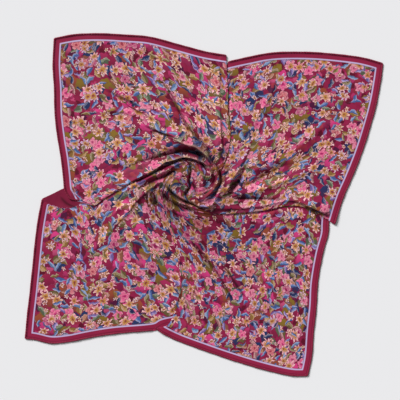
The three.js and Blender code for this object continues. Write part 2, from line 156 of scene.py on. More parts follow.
# Creases that the twist leaves, from the outside inward: the width of the slope on the left
# and on the right of the way in, and rows of (radius, bearing, height). A height below zero
# is a groove.
creases = {
    "outer_ring": (4, 3, [
        (116, 131, .5), (98, 126, 1.5), (84, 118, 2.5), (72, 110, 4), (66, 105, 5), (58, 95, 6),
        (55, 86, 6.5), (54, 76, 6.5), (51, 65, 6), (49, 52, 5), (47.5, 42, 4), (46, 30, 3.5),
        (47, 20, 3.2), (47, 8, 3.2), (45.5, -2, 3), (42, -12, 3), (40, -20, 3), (38, -30, 2.8),
        (36, -42, 2.5), (33, -54, 2)]),
    "outer_line": (1.5, 1.5, [
        (105, 128, -1), (95, 124, -2), (85, 120, -2.8), (76, 114, -3), (69, 107, -2.5),
        (63, 99, -1.5)]),
    "outer_groove": (1.4, 1.4, [
        (160, 106, -1.2), (148, 103.5, -1.6), (130, 100, -1.8), (104, 96, -2.2), (88, 92, -2.2),
        (80, 89, -2.2), (71, 81, -2.4), (63, 72, -2.6), (57, 58, -2.6), (53, 47, -2.5),
        (50.5, 38, -2.4), (50, 30, -2.2), (51, 20, -2.2), (51, 10, -3), (50.5, 0, -4),
        (48, -9, -2.6), (45.5, -17, -2.4), (44, -26, -2.4), (42, -35, -2), (39, -44, -1.5)]),
    "long_ridge": (3.5, 2, [
        (159, 103, .4), (132, 98, .8), (108, 93, 1.2), (92, 89, 1.5), (84, 86, 1.8),
        (75, 78, 2.2), (67, 69, 2.5), (61, 56, 2.5), (57, 45, 2.4), (54.5, 36, 2.2),
        (54.5, 28, 2), (55, 18, 2), (55, 8, 2.2), (54.5, 0, 2.4), (53, -8, 2.2),
        (51, -16, 2), (50, -26, 2), (50.5, -36, 2), (49.5, -45, 2), (46, -54, 1.5)]),
    "fine_ridge": (1.5, 1.5, [
        (90, 80, .5), (82, 75, .8), (68, 62, 1.2), (63, 46, 1.5), (60, 34, 1.5), (59, 22, 1.5),
        (59, 10, 1)]),
    "dark_hollow": (3, 3, [
        (102, 173, -.6), (87, 165, -1.2), (69, 154, -2), (58, 143, -3), (51, 129, -4.5),
        (47.5, 116, -6.5), (46.5, 102, -8), (46, 90, -8.5), (45, 76, -8.5), (44.5, 64, -7.5),
        (44, 54, -5.5), (43.5, 45, -3.8), (43, 36, -3.2), (43, 27, -3), (43, 18, -3),
        (42, 8, -2.5), (40, -2, -2), (37, -12, -1.5)]),
    "inner_ring": (3.5, 2, [
        (140, 193, .5), (124, 190, .8), (100, 185, 1), (82, 179, 1.5), (70, 173, 2.5),
        (57, 164, 3.5), (49, 152, 4.5), (45, 137, 5), (40.5, 124, 5.5), (39, 109, 6),
        (39, 96, 6), (38, 80, 6), (38, 62, 5.5), (39.5, 46, 4.5), (40, 33, 3.6), (39, 22, 3),
        (37, 12, 2.5), (34, 0, 2)]),
    "inner_groove": (1.2, 1.2, [
        (88, 183, -.5), (80, 180.5, -1), (68, 177, -2), (58, 171.5, -2.2),
        (46, 158, -2), (37.5, 139, -2), (34.5, 119, -2.2), (35.5, 104, -2.4),
        (35.5, 92, -2.4), (33.5, 75, -2.2), (33, 60, -2.4), (34, 47, -2.4), (34.5, 35, -2),
        (34, 24, -1.5)]),
    "second_arm": (2.5, 2.5, [
        (119, 198, .5), (95, 190, 1), (78, 184, 1.5), (64, 178, 2.5), (53, 172, 3.5),
        (42, 163, 4), (34, 150, 4), (30, 132, 3.5), (29, 112, 3), (29, 96, 2)]),
    "second_groove": (1.5, 1.5, [
        (72, 189, -1), (58, 183, -2), (48, 177, -3), (40, 171, -4), (34, 165, -4),
        (30, 158, -3.5), (26, 145, -2), (24, 128, -1)]),
    "left_arm": (4, 2.5, [
        (221, 218, .3), (190, 217, .6), (154, 215, 1), (124, 211, 1.2), (101, 207.5, 1.6),
        (86, 202.5, 2), (73, 197.5, 2.5), (62, 192.5, 3.2), (52, 187, 4), (43, 180, 4.5),
        (37, 178, 4.5), (31, 184, 4), (26, 198, 3.5), (23, 222, 3.5), (23, 255, 4),
        (27, 276, 4), (33, 290, 4), (39, 300, 4), (44, 309, 4), (48, 318, 3), (50, 326, 2)]),
    "rim_groove": (1.6, 1.6, [
        (31, 194, -2), (27, 206, -4), (26, 218, -5), (27, 237, -5), (27.5, 257, -5),
        (31, 281, -5), (36, 291, -4.5), (40, 296, -4), (45, 305, -3.5), (49, 312, -2.5)]),
    "middle_roll": (2, 2, [
        (36, 196, 2), (32, 209, 3), (32, 228, 3), (32, 246, 3), (33, 264, 3), (37, 280, 2.5),
        (43, 292, 1.5)]),
    "left_short": (1.8, 3, [
        (122, 205, .8), (112, 203, 1.5), (103, 201, 1.8), (94, 199, 1.5)]),
    "outer_curl": (1.8, 2.5, [
        (66, 233, 1), (64, 226, 2), (63, 217, 2.5), (61, 208, 2.5), (58.5, 200, 2.5),
        (55, 193, 2)]),
    "outer_curl_line": (1.2, 1.2, [
        (69, 224, -1), (66.5, 216, -1.5), (64.5, 207, -2), (62, 199, -2.5), (61, 193, -2.5)]),
    "curl": (2, 2, [
        (50, 186, 1.5), (44, 190, 3), (43.5, 200, 3.5), (45.5, 208, 3.5), (45.5, 217, 3.5),
        (45, 226, 3.5), (47, 237, 3.5), (48, 252, 3), (51, 264, 2)]),
    "pit": (3, 3, [(57, 222, -3), (55, 214, -7), (53, 206, -4), (50, 198, -2)]),
    "under_hollow": (2, 2.2, [
        (40, 201, -2), (38.5, 211, -4), (38, 227, -5), (37.5, 244, -4.5), (38, 261, -4),
        (41, 275, -3), (46, 286, -2)]),
    "middle_crease": (1.4, 1.4, [
        (33, 83, -1), (26, 79, -2), (17, 69, -2.5), (9, 60, -2.5), (4, 15, -2.5), (8, -50, -3.5),
        (12, -82, -5), (17, -94, -7), (21, -102, -6)]),
    "middle_branch": (1.6, 1.6, [(6, 0, -2), (15, -35, -3), (22, -50, -2), (27, -60, -1)]),
    "dome_right": (5, 5, [
        (31, 55, 1.5), (26, 30, 2), (24, 0, 2), (25, -30, 2), (28, -50, 1)]),
    "dome_left": (4, 4, [(20, 117, 1.5), (11, 164, 2), (12, 236, 1.5)]),
    "leaf_ridge": (2.5, 4, [
        (226, 51, .2), (198, 49, .8), (177, 46, 1.2), (154, 44, 1), (130, 41, .8),
        (112, 35, .6), (100, 28, .6), (90, 22, .8), (80, 15, 1.2), (71, 9, 2.2), (64, 3, 3.5),
        (61, -5, 4), (58, -13, 4), (56, -21, 3)]),
    "leaf_hollow": (2.5, 2.5, [
        (88, 14, -.5), (80, 7, -2.5), (74, 0, -5), (69, -4, -6.5), (65, -9, -5),
        (60, -15, -3)]),
    "soft_trough": (5, 5, [
        (189, 13, -.5), (164, 9, -1), (144, 8, -2), (126, 5, -3), (110, 2, -3.5),
        (93, -2, -2.5), (78, -5, -3)]),
    "above_trough": (6, 6, [(156, 14, 1), (134, 12, 1.5), (112, 11, 2), (97, 9, 2)]),
    "below_trough": (5, 5, [
        (194, 7, 1), (167, 4, 1.5), (144, 1, 2), (122, -3, 2.5), (101, -8, 2.5), (80, -13, 3),
        (66, -20, 3.5)]),
    "right_groove": (1.6, 1.6, [
        (151, 350, -1), (132, 349, -1.5), (110, 347, -1.5), (89, 344, -2), (70, 340, -1.5)]),
    "right_fold": (1.8, 5, [
        (216, 347, 2), (205, 348, 4), (192, 349, 5), (179, 350, 4.5), (167, 350.5, 3),
        (152, 350, 1.3), (134, 347, 1), (117, 343, 1), (101, 339, 1), (85, 333, 1.2),
        (69, 326, 1.2), (56, 317, 1.2), (45, 303, 1.2), (38, 285, 1)]),
    "right_line": (1.8, 1.8, [
        (220, 346.3, -1.2), (208, 346.9, -2.6), (197, 347.4, -2.8), (184, 347.9, -2.6),
        (172, 348.2, -1.6)]),
    "left_hollow": (2, 2, [
        (190, 185.5, -1), (186, 187.5, -2.2), (180, 190, -2.6), (172, 192, -2.2),
        (163, 193.5, -1)]),
    "lower_ridge": (2, 2, [
        (188, 294, .5), (170, 293, 1.4), (148, 292, 1.9), (126, 288.5, 2.1), (100, 283, 2),
        (76, 275, 2), (60, 267, 2), (53, 262, 1.5)]),
    "lower_line": (1.5, 1.5, [
        (190, 291.6, -1), (170, 290.3, -2), (151, 289.3, -2.5), (122, 285, -2.5),
        (100, 279, -2.5), (86, 274, -2)]),
    "lower_line_outer": (1.5, 1.5, [
        (193, 297, -1.5), (168, 295.6, -2.5), (147, 294.6, -2.5), (132, 293.4, -2)]),
    "soft_right": (7, 7, [
        (242, 22, .3), (221, 22, 1), (201, 21, 1.5), (178, 18, 1.8), (156, 15, 1.5)]),
    "short_upper": (5, 1.4, [
        (176, 131, .8), (156, 128, 2.2), (139, 126, 2.6), (122, 122, 2), (105, 117, 1.2),
        (93, 108, .8)]),
    "short_upper_line": (1.5, 1.5, [
        (178, 131, -1.5), (160, 128, -2.2), (142, 124.5, -2.2), (128, 121, -1.2)]),
    "upper_left_line": (5, 2, [(179, 145, .4), (155, 138, 1), (136, 131, 1.5), (120, 128, 1.5)]),
    "top_pleat": (1.6, 6, [
        (177, 75, 1.5), (144, 71, 1.5), (116, 66, 1.5), (90, 58, 2), (73, 48, 2.5),
        (65, 38, 3)]),
    "bottom_fold": (5, 2, [
        (191, 263, 1), (176, 265, 1.5), (161, 266, 1.5), (137, 266, 1), (108, 263, .6)]),
}


def polar(rows):
    """Plan points from rows that start with a radius and a bearing."""
    radius = np.array([row[0] for row in rows], float)
    turn = np.radians([row[1] for row in rows])
    return np.stack([radius * np.cos(turn), radius * np.sin(turn)], 1)


def twist_at(radius):
    """How far the cloth is turned at this radius, in radians."""
    core = TWIST_RADIUS ** 2
    return math.radians(TWIST) * core / np.hypot(radius ** 2, core)


def wound(points, sense):
    """Plan points turned about the rosette: 1 winds them up as the twist does, -1 unwinds."""
    turn = -sense * twist_at(np.hypot(points[..., 0], points[..., 1]))
    x, y = points[..., 0], points[..., 1]
    return np.stack([x * np.cos(turn) - y * np.sin(turn), x * np.sin(turn) + y * np.cos(turn)], -1)


def spline(points, places):
    """A smooth curve through the points, read at places counted in points from the first."""
    points = np.asarray(points, float)
    last = len(points) - 1
    at = np.clip(np.floor(places).astype(int), 0, last - 1)
    t = (places - at)[:, None]
    before, after = points[np.maximum(at - 1, 0)], points[np.minimum(at + 2, last)]
    start, end = points[at], points[at + 1]
    leave, arrive = (end - before) / 2, (after - start) / 2
    return (((2 * start - 2 * end + leave + arrive) * t - 3 * start + 3 * end - 2 * leave - arrive)
            * t + leave) * t + start


CURVE_READS = 401              # places read along a curve to measure it


def spaced(points, shares):
    """The same curve, read at shares of its length. Also gives the length."""
    fine = spline(points, np.linspace(0, len(points) - 1, CURVE_READS))
    run = np.concatenate([[0], np.cumsum(np.hypot(*np.diff(fine, axis=0).T))])
    return np.stack([np.interp(shares * run[-1], run, fine[:, k]) for k in (0, 1)], 1), run[-1]


def smooth(value, low, high):
    """0 up to the low value and 1 from the high one, with a soft rise between."""
    share = np.clip((value - low) / (high - low), 0, 1)
    return share * share * (3 - 2 * share)


POINTS_AT_ONCE = 20000


def nearest(line, points):
    """For each point, the nearest station of a line and the distance from it."""
    station = np.empty(len(points), int)
    for first in range(0, len(points), POINTS_AT_ONCE):
        part = points[first:first + POINTS_AT_ONCE]
        off = ((part[:, None, :] - line[None, :, :]) ** 2).sum(2)
        station[first:first + POINTS_AT_ONCE] = off.argmin(1)
    return station, np.hypot(*(points - line[station]).T)


def beside(line, points):
    """For each point, the distance from a line, the station nearest to it, the way of the line
    there, and whether the point is on the left of it."""
    station, off = nearest(line, points)
    way = np.gradient(line, axis=0)
    way /= np.hypot(*way.T)[:, None]
    way, away = way[station], points - line[station]
    return off, station, way, way[:, 0] * away[:, 1] - way[:, 1] * away[:, 0] > 0


CREASE_READS = 24              # places read along a crease, for each of its rows
CREASE_FADE = (-2, 10)         # where a crease rises from its end
CREASE_REACH = 6               # how far out a crease is felt, in widths
ROUNDING = 0.3                 # how much of a crease's width is rounded off at its top


def crease_shape(points, left, right, rows):
    """What one crease adds at the points: how far a ridge leans over its steep side, and its
    height. It fades out at both ends."""
    places = np.linspace(0, len(rows) - 1, CREASE_READS * len(rows))
    line = spline(polar(rows), places)
    height = np.interp(places, np.arange(len(rows)), [row[2] for row in rows])
    run = np.concatenate([[0], np.cumsum(np.hypot(*np.diff(line, axis=0).T))])
    height = height * smooth(run, *CREASE_FADE) * smooth(run[-1] - run, *CREASE_FADE)
    height = height * np.where(height > 0, RIDGE_GAIN, GROOVE_GAIN)
    reach = CREASE_REACH * max(left, right)
    close = ((points > line.min(0) - reach) & (points < line.max(0) + reach)).all(1)
    added = np.zeros((len(points), 3))
    if close.any():
        off, station, way, on_left = beside(line, points[close])
        width = np.where(on_left, left, right)
        soft = ROUNDING * width
        shape = height[station] * np.exp((soft - np.hypot(off, soft)) / width)
        steep = np.stack([way[:, 1], -way[:, 0]], 1) * math.copysign(1, left - right)
        lean = LEAN * (1 - min(left, right) / max(left, right)) * np.maximum(shape, 0)
        added[close] = np.column_stack([steep * lean[:, None], shape])
    return added


def waves(points, seed, shortest, longest, count=24):
    """Slow uneven swells, about -1 to 1."""
    random = np.random.default_rng(seed)
    total = np.zeros(len(points))
    for _ in range(count):
        heading, phase = random.uniform(0, 2 * math.pi, 2)
        length = random.uniform(shortest, longest)
        along = points[:, 0] * math.cos(heading) + points[:, 1] * math.sin(heading)
        total += np.cos(2 * math.pi * along / length + phase)
    return total / math.sqrt(count)


GATHERS = ((11, 1.0), (19, 1.5), (31, 0.9), (47, 0.4))     # how many in a turn, and height
GATHERS_RISE = (10, 34)        # radii between which they grow to their height
GATHERS_FADE = 82              # radius where they have sunk to half


def gathers(points, seed):
    """Fine pleats that follow the twist, strongest round the rosette."""
    random = np.random.default_rng(seed)
    radius = np.hypot(*points.T)
    bearing = np.arctan2(points[:, 1], points[:, 0]) + twist_at(radius)
    total = np.zeros(len(points))
    for pleats, height in GATHERS:
        phase, drift = random.uniform(0, 2 * math.pi), random.uniform(25, 50)
        fold = pleats * bearing / 2 + phase + 1.3 * np.sin(radius / drift + phase)
        swell = 0.6 + 0.4 * np.sin(3 * bearing + radius / 23 + phase)
        total += height * swell * (np.abs(np.sin(fold)) ** 0.8 - 0.6)
    return total * smooth(radius, *GATHERS_RISE) / (1 + (radius / GATHERS_FADE) ** 5)


HEAP, HEAP_RADIUS = 14.0, 60       # the mound of the rosette
SKIRT, SKIRT_RADIUS = 3.5, 120     # and the low slope round it
SWELL, RIPPLE = 0.5, 0.12      # height of the slow and the small swells everywhere
FULL_SHADE = 1.6               # up to this width, a groove takes its full painted shade
CREST_WIDTH = 4                # a ridge wider than this gets no painted highlight
CREST_HEIGHT = (5, 10)         # ridge heights where the painted highlight on its crest starts, and where it is full
ROSETTE_SHADE = 0.3             # painted shade over the middle of the rosette
ROSETTE_SHADE_EDGE = (40, 105)        # radii between which that painted shade thins out to nothing
GROOVE_SHADE = (0.4, 0.45)     # painted shade in a groove there, and what is added further out
GROOVE_EDGE = (55, 95)         # radii between which that is added
FULL_DEPTH = 4                 # depth of a groove with its full shade


def relief(points):
    """How the cloth stands where it lies in one layer: a shift in plan and a height. Also its
    painted shade, from 0 away from the rosette to 1 in the deepest grooves, and its painted
    highlight on the crest of a narrow ridge, from 0 to 1."""
    radius = np.hypot(*points.T)
    stand = np.zeros((len(points), 3))
    depth, crest_highlight = np.zeros((2, len(points)))
    for left, right, rows in creases.values():
        shape = crease_shape(points, left, right, rows)
        stand += shape
        depth += np.maximum(-shape[:, 2], 0) * min(1, (FULL_SHADE / max(left, right)) ** 2)
        # Painted highlight: the crests of narrow ridges are marked for lightening.
        if max(left, right) <= CREST_WIDTH:
            crest_highlight = np.maximum(crest_highlight, shape[:, 2])
    stand[:, 2] += HEAP / (1 + (radius / HEAP_RADIUS) ** 4)
    stand[:, 2] += SKIRT / (1 + (radius / SKIRT_RADIUS) ** 8)
    stand[:, 2] += gathers(points, 3)
    stand[:, 2] += SWELL * (1 + waves(points, 5, 60, 110)) + RIPPLE * waves(points, 8, 18, 40)
    # Painted shade: darker in narrow grooves, and over the middle of the rosette.
    shade = GROOVE_SHADE[0] + GROOVE_SHADE[1] * smooth(radius, *GROOVE_EDGE)
    painted_shade = ROSETTE_SHADE * (1 - smooth(radius, *ROSETTE_SHADE_EDGE))
    painted_shade = painted_shade + shade * smooth(depth, 0, FULL_DEPTH)
    return stand, painted_shade, smooth(crest_highlight, *CREST_HEIGHT)


fold_lines = {name: spline(polar(fold["rows"]), np.linspace(0, len(fold["rows"]) - 1, 120))
              for name, fold in fold_rows.items()}


def fold_edge(lobe, name, start):
    """The edge of one lobe along a fold: at the fold for the covering lobe, and further on
    beneath it for the covered one."""
    fold = fold_rows[name]
    covering = name in lobe["covers"]
    rows = fold["rows"] if covering else fold["under"] + fold["rows"]
    edge = [start]
    for index, (radius, bearing) in enumerate(rows):
        if radius >= np.hypot(*start) - 5:
            continue
        given = not covering and index < len(fold["under"])
        shift = 0 if covering or given else TUCK * smooth(radius, 10, 60)
        edge.append(polar([(radius, bearing + fold["over"] * math.degrees(shift / radius))])[0])
    return np.array(edge)


def lobe_plan(lobe):
    """Plan points of one lobe, as a grid from its corner to the middle, with the lengths of
    its two hems. The patch is filled unwound and wound up again."""
    steps = np.linspace(0, 1, LOBE_STEPS + 1)
    starts, lengths = [], []
    for name in lobe["hems"]:
        ends, length = spaced(hem_routes[name], np.array([1.0]))
        starts.append(ends[0])
        lengths.append(length)
    edges = [np.vstack([wound(fold_edge(lobe, name, start), -1), [[0, 0]]])
             for name, start in zip(lobe["folds"], starts)]
    shares = [HEM / 2 / length + steps * (1 - HEM / 2 / length) for length in lengths]
    hem_a = wound(spaced(hem_routes[lobe["hems"][0]], shares[0])[0], -1)
    hem_b = wound(spaced(hem_routes[lobe["hems"][1]], shares[1])[0], -1)
    edge_a = spaced(edges[0], shares[1])[0]
    edge_b = spaced(edges[1], shares[0])[0]
    s, t = np.meshgrid(shares[0], shares[1])
    s, t = s[..., None], t[..., None]
    corner = wound(np.array(hem_routes[lobe["hems"][0]][:1], float), -1)[0]
    grid = ((1 - t) * hem_a[None] + t * edge_b[None] + (1 - s) * hem_b[:, None]
            + s * edge_a[:, None] - (1 - s) * (1 - t) * corner
            - s * (1 - t) * edges[0][0] - t * (1 - s) * edges[1][0])
    return wound(grid, 1), s[..., 0], t[..., 0], lengths


PRINT_TURN = 0.6               # how much of the twist the print follows
PRINT_TURN_FROM = 120.0        # and from which radius inward


def flat_place(lobe, plan, s, t, lengths):
    """Where each point of a lobe lies in the flat square, with the size of the box round that
    part of the square and its area. Near the rosette the print turns with the cloth instead of
    shearing."""
    sign = np.array(lobe["corner"], float)
    corner = sign * SIDE / 2
    sideways = lobe["hems"][0] in ("top_left", "bottom_right")
    along_a = np.array([-sign[0], 0]) if sideways else np.array([0, -sign[1]])
    along_b = -sign - along_a
    inner = corner * (1 - lobe["reach"] / np.hypot(*corner))
    end_a, end_b = corner + along_a * lengths[0], corner + along_b * lengths[1]
    s, t = s[..., None], t[..., None]
    flat = (1 - s) * (1 - t) * corner + s * (1 - t) * end_a + (1 - s) * t * end_b + s * t * inner
    radius = np.hypot(plan[..., 0], plan[..., 1])
    turn = -PRINT_TURN * np.maximum(twist_at(radius) - twist_at(PRINT_TURN_FROM), 0)
    off = flat - inner
    turned = np.stack([off[..., 0] * np.cos(turn) - off[..., 1] * np.sin(turn),
                       off[..., 0] * np.sin(turn) + off[..., 1] * np.cos(turn)], -1)
    cut = np.array([corner, end_a, inner, end_b])
    area = abs(sum(cut[k - 1][0] * cut[k][1] - cut[k][0] * cut[k - 1][1] for k in range(4))) / 2
    return inner + turned, np.ptp(cut, axis=0), area


# Past its visible end, each border runs on into the pleat along these points.
border_ends = {
    "top_right": (8, [(40, 171)]),
    "right_lower": (9, [(211, -34)]),
    "bottom_left": (7, [(-34, -212), (-14, -208), (6, -206)]),
    "left_lower": (7, [(-209, 0)]),
    "left_upper": (8, [(-177, -20), (-171, -31), (-163, -42)]),
}
TURNED_DEPTH = 4.0             # the turned-over border shows plain, as if this near the edge
turned_border = [(-212, -29), (-203, -33), (-187, -39), (-171, -39), (-150, -30)]


def edge_distance(lobe, plan):
    """Distance of each point from the finished edge of the square, less than nothing beyond."""
    points = plan.reshape(-1, 2)
    inside = np.full(len(points), 1e3)
    for index, name in enumerate(lobe["hems"]):
        kept, ahead = border_ends.get(name, (None, []))
        route = np.array(hem_routes[name][:kept] + ahead, float)
        line = spaced(route, np.linspace(0, 1, 200))[0]
        off, _, _, on_left = beside(line, points)
        inside = np.minimum(inside, np.where(on_left == bool(index), off, -off))
    if "left_lower" in lobe["hems"]:
        line = np.array(turned_border, float)
        above = points[:, 1] > np.interp(points[:, 0], line[:, 0], line[:, 1])
        turned = above & (points[:, 0] > line[0, 0]) & (points[:, 0] < line[-1, 0])
        inside = np.where(turned, np.minimum(inside, TURNED_DEPTH), inside)
    return inside.reshape(plan.shape[:2])


HEM_HOLD = (2, 16)             # from the hem in, where the folds start and stand free of it
HEART_HOLD = (4, 22)           # radii where the doubled edge runs out into the heart
CLOSING = 40                   # length over which a fold closes up
CLOSED = 0.3                   # share of its doubling that it keeps when closed
SINKING = 0.85                 # share of its height above the floor that cloth can sink
FOLD_END = 3                   # half the width of the step where the doubling ends
DIP_WIDTH = (2, 7)             # how wide the covered lobe dips beside a fold


def lobe_surface(lobe, plan, s, t, lengths):
    """Top and underside of the silk at each point, and the values that its finish reads. It
    climbs where it covers another lobe, and sinks where it is covered."""
    points = plan.reshape(-1, 2)
    radius = np.hypot(*points.T)
    stand, painted_shade, crest_highlight = relief(points)
    inward = np.minimum(s * lengths[0], t * lengths[1]).reshape(-1)
    free = smooth(inward, *HEM_HOLD)
    base = np.maximum(FLAT_LIE + (stand[:, 2] - FLAT_LIE) * free, LEAST_LIE)
    wall = np.full(len(points), SILK)
    climb = np.zeros(len(points))
    for name in lobe["folds"]:
        off = nearest(fold_lines[name], points)[1]
        closes, bold = fold_rows[name]["closes"], fold_rows[name]["bold"]
        open_share = CLOSED + (1 - CLOSED) * smooth(radius, closes - CLOSING, closes)
        calm = smooth(radius, *HEART_HOLD) * open_share
        if name in lobe["covers"]:
            doubled = 1 - smooth(off, FOLD_WIDTH - FOLD_END, FOLD_WIDTH + FOLD_END)
            doubled = doubled * calm * bold
            wall = np.maximum(wall, SILK + (FOLD - SILK) * doubled)
            near = 1 - smooth(off, FOLD_WIDTH, FOLD_RAMP)
            climb = np.maximum(climb, near * calm * (SILK + AIR) + doubled * (FOLD - SILK))
        else:
            dip = (1 - smooth(off, *DIP_WIDTH)) * calm * bold
            base = base - dip * np.minimum(DIP, np.maximum(base - LEAST_LIE, 0) * SINKING)
    level = base + climb + SILK
    top = np.column_stack([points + stand[:, :2] * free[:, None], level])
    top = top.reshape(*plan.shape[:2], 3)
    normal = np.cross(np.gradient(top, axis=0), np.gradient(top, axis=1))
    normal *= np.sign(normal[..., 2].mean())
    normal /= np.maximum(np.linalg.norm(normal, axis=2), 1e-9)[..., None]
    under = top - normal * wall.reshape(plan.shape[:2])[..., None]
    under[..., 2] = np.maximum(under[..., 2], 0)
    return top, under, {"edge": edge_distance(lobe, plan), "painted_shade": painted_shade, "crest_highlight": crest_highlight}


def laid_piece(name, points, edges, faces):
    """A piece from points in mm about the rosette."""
    mesh = bpy.data.meshes.new(name)
    mesh.from_pydata((np.array(points) * MM + [heart.x, heart.y, 0]).tolist(), edges, faces)
    mesh.shade_smooth()
    piece = bpy.data.objects.new(name, mesh)
    bpy.context.scene.collection.objects.link(piece)
    return piece


def shell(name, top, under, flat, values):
    """A closed shell of silk from a grid of points, with a rounded edge all round. Each point
    keeps its place in the flat square as "flat", whose third number is 1 underneath, and the
    given values under their names."""
    rows, columns = top.shape[:2]
    order = np.arange(rows * columns).reshape(rows, columns)
    loop = np.concatenate([order[0, :-1], order[:-1, -1], order[-1, :0:-1], order[:0:-1, 0]])
    top, under, flat = top.reshape(-1, 3), under.reshape(-1, 3), flat.reshape(-1, 2)
    along = np.roll(top[loop], -1, 0) - np.roll(top[loop], 1, 0)
    along /= np.maximum(np.linalg.norm(along, axis=1), 1e-6)[:, None]
    outward = np.column_stack([-along[:, 1], along[:, 0], 0 * along[:, 0]])
    middle, half = (top + under)[loop] / 2, (top - under)[loop] / 2
    bulge = np.linalg.norm(half, axis=1)[:, None]
    places = [top, under]
    marks = [np.column_stack([flat, np.full(len(flat), side)]) for side in (0.0, 1.0)]
    for step in range(1, NOSE_STEPS):
        turn = math.pi * step / NOSE_STEPS
        places.append(middle + half * math.cos(turn) + outward * bulge * math.sin(turn))
        marks.append(np.column_stack([flat[loop], np.full(len(loop), float(turn > math.pi / 2))]))
    size = rows * columns
    a, b, c, d = order[:-1, :-1], order[:-1, 1:], order[1:, 1:], order[1:, :-1]
    faces = [np.stack([a, d, c, b], -1).reshape(-1, 4),
             np.stack([a, b, c, d], -1).reshape(-1, 4) + size]
    nose = [2 * size + k * len(loop) + np.arange(len(loop)) for k in range(NOSE_STEPS - 1)]
    rings = [loop] + nose + [loop + size]
    for upper, lower in zip(rings[:-1], rings[1:]):
        faces.append(np.stack([upper, np.roll(upper, -1), np.roll(lower, -1), lower], 1))
    piece = laid_piece(name, np.concatenate(places), [], np.concatenate(faces).tolist())
    mesh = piece.data
    mesh.attributes.new("flat", "FLOAT_VECTOR", "POINT").data.foreach_set(
        "vector", np.concatenate(marks).astype(np.float32).ravel())
    for label, value in values.items():
        value = value.reshape(-1).astype(np.float32)
        value = np.concatenate([value, value] + [value[loop]] * (NOSE_STEPS - 1))
        mesh.attributes.new(label, "FLOAT", "POINT").data.foreach_set("value", value)
    return piece


panels = []
for lobe in lobes:
    plan, s, t, lengths = lobe_plan(lobe)
    flat, flat_size, flat_area = flat_place(lobe, plan, s, t, lengths)
    top, under, values = lobe_surface(lobe, plan, s, t, lengths)
    panel = shell("panel_" + lobe["name"], top, under, flat, values)
    panels.append(panel)
    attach(panel, "root")
    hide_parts("lobe_" + lobe["name"], "rosette")
    lobe.update(panel=panel, lengths=lengths, size=flat_size, area=flat_area)


# ---- Printed silk: finish ----------------------------------------------------------------
# Screen-printed twill in a wine ground, covered with blossoms, small florets and leaves in
# pinks, peach, mustard and blues. A plain wine border with one pale line runs inside the hem.

BORDER = 9.3                   # plain wine band, in mm from the edge of the square
BORDER_LINE = 2.1              # pale line inside it
HEM_SHADE = 3.6                # line where the roll of the hem shades the band
INK_EDGE = 0.7                 # softness of a printed outline
HAND = 9.0                     # how far the hand of the drawing wanders
TWILL = 0.55                   # spacing of the twill's slanting lines
SILK_GLOSS = {"Roughness": 0.6, "Specular IOR Level": 0.16, "Sheen Weight": 0.06,
              "Sheen Roughness": 0.4}


def dyed(red, green, blue):
    """A dye given in screen values, as the light that it gives back."""
    return [(v / 12.92 if v <= 0.04045 else ((v + 0.055) / 1.055) ** 2.4)
            for v in (red / 255, green / 255, blue / 255)] + [1.0]


class Dye:
    """One value or colour of a finish. A sum written on it adds its Math nodes."""

    def __init__(self, tree, socket=None):
        self.tree, self.socket = tree, socket

    def node(self, kind, settings=None, sockets=None, out=0):
        made = self.tree.nodes.new(kind)
        for name, value in (settings or {}).items():
            if name == "stops":
                made.color_ramp.interpolation = "CONSTANT"
                made.color_ramp.elements.remove(made.color_ramp.elements[1])
                for index, (place, colour) in enumerate(value):
                    stops = made.color_ramp.elements
                    stop = stops.new(place) if index else stops[0]
                    stop.position, stop.color = place, colour
            else:
                setattr(made, name, value)
        for name, value in (sockets or {}).items():
            if isinstance(value, Dye):
                self.tree.links.new(value.socket, made.inputs[name])
            else:
                made.inputs[name].default_value = value
        return Dye(self.tree, made.outputs[out])

    def also(self, output):
        return Dye(self.tree, self.socket.node.outputs[output])

    def math(self, operation, *terms):
        return self.node("ShaderNodeMath", {"operation": operation}, dict(enumerate(terms)))

    def vector(self, operation, *terms):
        return self.node("ShaderNodeVectorMath", {"operation": operation}, dict(enumerate(terms)))

    def blend(self, first, second, share, kind="MIX"):
        """The first colour where share is 0, and the second where it is 1."""
        return self.node("ShaderNodeMix", {"data_type": "RGBA", "blend_type": kind}, {
            0: share, 6: first, 7: second}, 2)

    def mix(self, other, share):
        return self.blend(self, other, share)

    def noise(self, scale, detail, out=0):
        return self.node("ShaderNodeTexNoise", {}, {
            "Vector": self, "Scale": scale, "Detail": detail}, out)

    def attribute(self, name, out="Fac"):
        return self.node("ShaderNodeAttribute", {"attribute_name": name}, out=out)

    def feed(self, finish, name):
        self.tree.links.new(self.socket, finish.inputs[name])

    def choice(self, stops):
        stops = [(place, dyed(*dye)) for place, *dye in stops]
        return self.node("ShaderNodeValToRGB", {"stops": stops}, {"Fac": self})

    def within(self, limit, softness=INK_EDGE):
        """1 where the value is under the limit, and 0 over it."""
        return self.node("ShaderNodeMapRange", {"interpolation_type": "SMOOTHSTEP"}, {
            "Value": limit - self, "From Min": -softness / 2, "From Max": softness / 2})

    def __add__(self, other):
        return self.math("ADD", self, other)

    def __sub__(self, other):
        return self.math("SUBTRACT", self, other)

    def __rsub__(self, other):
        return self.math("SUBTRACT", other, self)

    def __mul__(self, other):
        return self.math("MULTIPLY", self, other)

    def __truediv__(self, other):
        return self.math("DIVIDE", self, other)

    def __pow__(self, other):
        return self.math("POWER", self, other)

    def __abs__(self):
        return self.math("ABSOLUTE", self)

    __radd__, __rmul__ = __add__, __mul__


def finish_start(name):
    """A new material, its gloss, and the start of its nodes."""
    made = bpy.data.materials.new(name)
    made.use_nodes = True
    return made, made.node_tree.nodes["Principled BSDF"], Dye(made.node_tree)


def set_gloss(gloss, values):
    for name, value in values.items():
        gloss.inputs[name].default_value = value


